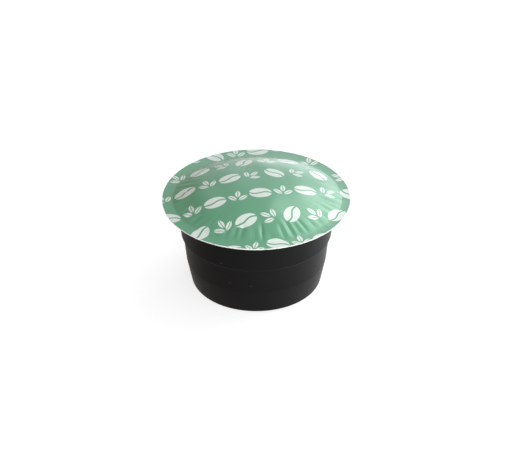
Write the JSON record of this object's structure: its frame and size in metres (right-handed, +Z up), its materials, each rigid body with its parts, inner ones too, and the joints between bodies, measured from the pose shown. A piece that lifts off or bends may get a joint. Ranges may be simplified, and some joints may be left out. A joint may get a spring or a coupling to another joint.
{
  "type": "coffee pod",
  "caption": "Sealed single-serve coffee pod: a flanged plastic cup closed by a puffed, puckered foil lid and filled with ground coffee.",
  "frame": {"origin": "centre of the underside of the base, on the surface that the pod stands on", "axes": "+Z up along the pod's axis, from the base to the lid; -Y towards the side that the picture shows"},
  "size_m": [0.045, 0.045, 0.0266],
  "materials": {
    "cup_plastic": "satin black moulded polypropylene",
    "lid_foil": "satin printed and lacquered aluminium foil, green with a white motif",
    "ground_coffee": "dark loose grounds"
  },
  "bodies": {
    "root": {"cup": "cup_plastic", "lid": "lid_foil", "coffee": "ground_coffee"}
  },
  "joints": []
}
